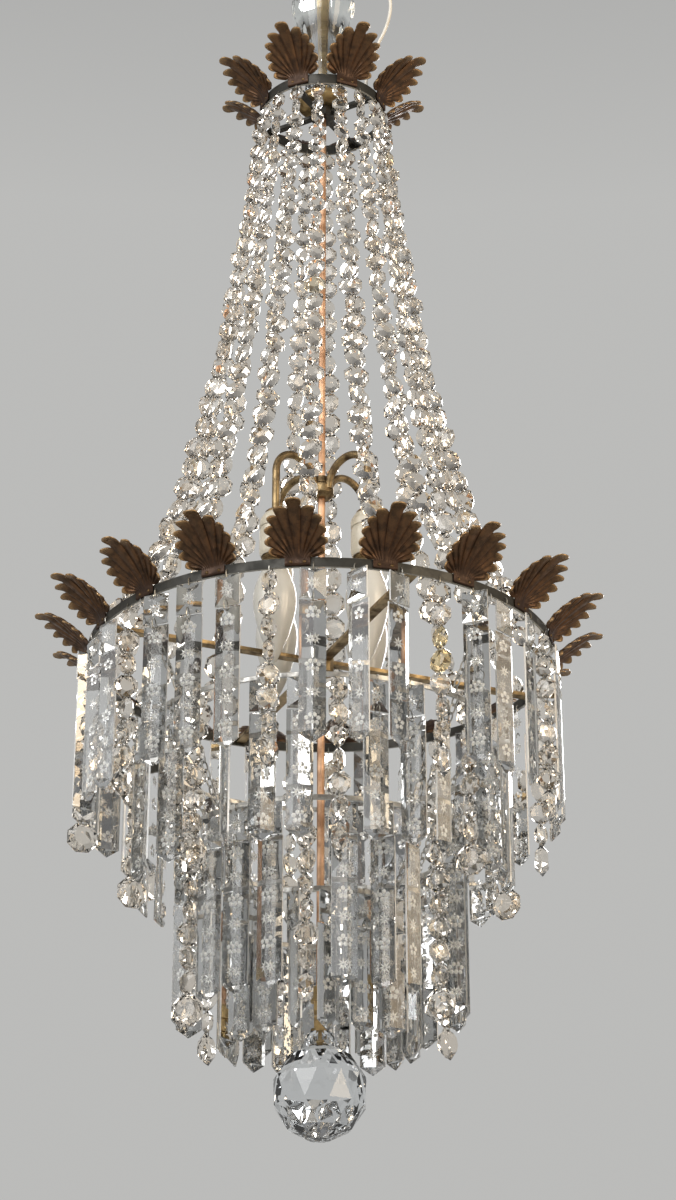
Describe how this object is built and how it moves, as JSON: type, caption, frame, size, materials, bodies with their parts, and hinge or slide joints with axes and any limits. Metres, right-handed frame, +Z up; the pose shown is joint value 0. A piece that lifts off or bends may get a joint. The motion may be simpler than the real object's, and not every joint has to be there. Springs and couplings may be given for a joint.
{
  "type": "crystal chandelier",
  "caption": "Hanging crystal chandelier: a tent of graduated bead strands from a leafed crown to a leafed hoop, tiers of hanging prisms below it, and a faceted ball.",
  "frame": {"origin": "centre of the hanging eye's bore", "axes": "+Z up along the rod, the longest extent; +Y along the eye's bore, away from the viewer; -Y faces the viewer"},
  "size_m": [0.4618, 0.4618, 1.1],
  "materials": {
    "stem_brass": "aged, dull gloss",
    "rod_copper": "reddish brass tube, handled",
    "aged_brass": "brown, aged",
    "dark_band": "dark patinated strip with bright edges",
    "leaf_bronze": "dark brown bronze, rubbed lighter on the lobes",
    "lamp_ceramic": "cream glazed",
    "bulb_glass": "opal",
    "flex_cover": "pale sheathed flex",
    "octagon_crystal": "cut and polished",
    "prism_crystal": "cut and polished, engraved back",
    "ball_crystal": "cut and polished",
    "baluster_glass": "panel cut"
  },
  "bodies": {
    "root": {"baluster_cup": "stem_brass", "bulbs": "bulb_glass", "center_rod": "rod_copper", "crown_leaves": "leaf_bronze", "crown_ring": "dark_band", "crown_spider": "aged_brass", "fourth_hoop": "dark_band", "fourth_prisms": "prism_crystal", "hanging_eye": "stem_brass", "hoop_stays": "aged_brass", "lamp_bracket": "aged_brass", "lampholders": "lamp_ceramic", "main_hoop": "dark_band", "main_leaves": "leaf_bronze", "main_spider": "aged_brass", "main_strings": "octagon_crystal", "rod_fork": "aged_brass", "second_hoop": "dark_band", "second_prisms": "prism_crystal", "second_strings": "octagon_crystal", "stem_baluster": "baluster_glass", "stem_cap": "stem_brass", "stem_tube": "stem_brass", "supply_flex": "flex_cover", "tent_strands": "octagon_crystal", "third_hoop": "dark_band", "third_prisms": "prism_crystal", "third_strings": "octagon_crystal"},
    "prism_01": {"main_prism_01": "prism_crystal"},
    "prism_02": {"main_prism_02": "prism_crystal"},
    "prism_03": {"main_prism_03": "prism_crystal"},
    "prism_04": {"main_prism_04": "prism_crystal"},
    "prism_05": {"main_prism_05": "prism_crystal"},
    "prism_06": {"main_prism_06": "prism_crystal"},
    "prism_07": {"main_prism_07": "prism_crystal"},
    "prism_08": {"main_prism_08": "prism_crystal"},
    "prism_09": {"main_prism_09": "prism_crystal"},
    "prism_10": {"main_prism_10": "prism_crystal"},
    "prism_11": {"main_prism_11": "prism_crystal"},
    "prism_12": {"main_prism_12": "prism_crystal"},
    "prism_13": {"main_prism_13": "prism_crystal"},
    "prism_14": {"main_prism_14": "prism_crystal"},
    "prism_15": {"main_prism_15": "prism_crystal"},
    "prism_16": {"main_prism_16": "prism_crystal"},
    "prism_17": {"main_prism_17": "prism_crystal"},
    "prism_18": {"main_prism_18": "prism_crystal"},
    "prism_19": {"main_prism_19": "prism_crystal"},
    "prism_20": {"main_prism_20": "prism_crystal"},
    "prism_21": {"main_prism_21": "prism_crystal"},
    "prism_22": {"main_prism_22": "prism_crystal"},
    "prism_23": {"main_prism_23": "prism_crystal"},
    "prism_24": {"main_prism_24": "prism_crystal"},
    "prism_25": {"main_prism_25": "prism_crystal"},
    "prism_26": {"main_prism_26": "prism_crystal"},
    "prism_27": {"main_prism_27": "prism_crystal"},
    "link": {"ball_link": "aged_brass"},
    "ball": {"ball_yoke": "aged_brass", "ball_collar": "ball_crystal", "crystal_ball": "ball_crystal"}
  },
  "joints": [
    {"name": "prism_01_swing", "type": "hinge", "parent": "root", "child": "prism_01", "pos_m": [-0.00487, -0.18594, -0.699], "axis": [-0.9997, 0.0262, 0], "range_deg": [-6, 40]},
    {"name": "prism_02_swing", "type": "hinge", "parent": "root", "child": "prism_02", "pos_m": [0.02749, -0.18396, -0.699], "axis": [-0.989, -0.1478, 0], "range_deg": [-6, 40]},
    {"name": "prism_03_swing", "type": "hinge", "parent": "root", "child": "prism_03", "pos_m": [0.05902, -0.17639, -0.699], "axis": [-0.9483, -0.3173, 0], "range_deg": [-6, 40]},
    {"name": "prism_04_swing", "type": "hinge", "parent": "root", "child": "prism_04", "pos_m": [0.11579, -0.14556, -0.699], "axis": [-0.7826, -0.6225, 0], "range_deg": [-6, 40]},
    {"name": "prism_05_swing", "type": "hinge", "parent": "root", "child": "prism_05", "pos_m": [0.13931, -0.12325, -0.699], "axis": [-0.6626, -0.749, 0], "range_deg": [-6, 40]},
    {"name": "prism_06_swing", "type": "hinge", "parent": "root", "child": "prism_06", "pos_m": [0.15859, -0.09718, -0.699], "axis": [-0.5225, -0.8526, 0], "range_deg": [-6, 40]},
    {"name": "prism_07_swing", "type": "hinge", "parent": "root", "child": "prism_07", "pos_m": [0.18227, -0.03708, -0.699], "axis": [-0.1994, -0.9799, 0], "range_deg": [-6, 40]},
    {"name": "prism_08_swing", "type": "hinge", "parent": "root", "child": "prism_08", "pos_m": [0.18594, -0.00487, -0.699], "axis": [-0.0262, -0.9997, 0], "range_deg": [-6, 40]},
    {"name": "prism_09_swing", "type": "hinge", "parent": "root", "child": "prism_09", "pos_m": [0.18396, 0.02749, -0.699], "axis": [0.1478, -0.989, 0], "range_deg": [-6, 40]},
    {"name": "prism_10_swing", "type": "hinge", "parent": "root", "child": "prism_10", "pos_m": [0.16346, 0.08875, -0.699], "axis": [0.4772, -0.8788, 0], "range_deg": [-6, 40]},
    {"name": "prism_11_swing", "type": "hinge", "parent": "root", "child": "prism_11", "pos_m": [0.14556, 0.11579, -0.699], "axis": [0.6225, -0.7826, 0], "range_deg": [-6, 40]},
    {"name": "prism_12_swing", "type": "hinge", "parent": "root", "child": "prism_12", "pos_m": [0.12325, 0.13931, -0.699], "axis": [0.749, -0.6626, 0], "range_deg": [-6, 40]},
    {"name": "prism_13_swing", "type": "hinge", "parent": "root", "child": "prism_13", "pos_m": [0.06817, 0.17306, -0.699], "axis": [0.9304, -0.3665, 0], "range_deg": [-6, 40]},
    {"name": "prism_14_swing", "type": "hinge", "parent": "root", "child": "prism_14", "pos_m": [0.03708, 0.18227, -0.699], "axis": [0.9799, -0.1994, 0], "range_deg": [-6, 40]},
    {"name": "prism_15_swing", "type": "hinge", "parent": "root", "child": "prism_15", "pos_m": [0.00487, 0.18594, -0.699], "axis": [0.9997, -0.0262, 0], "range_deg": [-6, 40]},
    {"name": "prism_16_swing", "type": "hinge", "parent": "root", "child": "prism_16", "pos_m": [-0.05902, 0.17639, -0.699], "axis": [0.9483, 0.3173, 0], "range_deg": [-6, 40]},
    {"name": "prism_17_swing", "type": "hinge", "parent": "root", "child": "prism_17", "pos_m": [-0.08875, 0.16346, -0.699], "axis": [0.8788, 0.4772, 0], "range_deg": [-6, 40]},
    {"name": "prism_18_swing", "type": "hinge", "parent": "root", "child": "prism_18", "pos_m": [-0.11579, 0.14556, -0.699], "axis": [0.7826, 0.6225, 0], "range_deg": [-6, 40]},
    {"name": "prism_19_swing", "type": "hinge", "parent": "root", "child": "prism_19", "pos_m": [-0.15859, 0.09718, -0.699], "axis": [0.5225, 0.8526, 0], "range_deg": [-6, 40]},
    {"name": "prism_20_swing", "type": "hinge", "parent": "root", "child": "prism_20", "pos_m": [-0.17306, 0.06817, -0.699], "axis": [0.3665, 0.9304, 0], "range_deg": [-6, 40]},
    {"name": "prism_21_swing", "type": "hinge", "parent": "root", "child": "prism_21", "pos_m": [-0.18227, 0.03708, -0.699], "axis": [0.1994, 0.9799, 0], "range_deg": [-6, 40]},
    {"name": "prism_22_swing", "type": "hinge", "parent": "root", "child": "prism_22", "pos_m": [-0.18396, -0.02749, -0.699], "axis": [-0.1478, 0.989, 0], "range_deg": [-6, 40]},
    {"name": "prism_23_swing", "type": "hinge", "parent": "root", "child": "prism_23", "pos_m": [-0.17639, -0.05902, -0.699], "axis": [-0.3173, 0.9483, 0], "range_deg": [-6, 40]},
    {"name": "prism_24_swing", "type": "hinge", "parent": "root", "child": "prism_24", "pos_m": [-0.16346, -0.08875, -0.699], "axis": [-0.4772, 0.8788, 0], "range_deg": [-6, 40]},
    {"name": "prism_25_swing", "type": "hinge", "parent": "root", "child": "prism_25", "pos_m": [-0.12325, -0.13931, -0.699], "axis": [-0.749, 0.6626, 0], "range_deg": [-6, 40]},
    {"name": "prism_26_swing", "type": "hinge", "parent": "root", "child": "prism_26", "pos_m": [-0.09718, -0.15859, -0.699], "axis": [-0.8526, 0.5225, 0], "range_deg": [-6, 40]},
    {"name": "prism_27_swing", "type": "hinge", "parent": "root", "child": "prism_27", "pos_m": [-0.06817, -0.17306, -0.699], "axis": [-0.9304, 0.3665, 0], "range_deg": [-6, 40]},
    {"name": "link_swing", "type": "hinge", "parent": "root", "child": "link", "pos_m": [0, 0, -0.9842], "axis": [1, 0, 0], "range_deg": [-20, 20]},
    {"name": "ball_swing", "type": "hinge", "parent": "link", "child": "ball", "pos_m": [0, 0, -0.9952], "axis": [0, 1, 0], "range_deg": [-20, 20]}
  ]
}
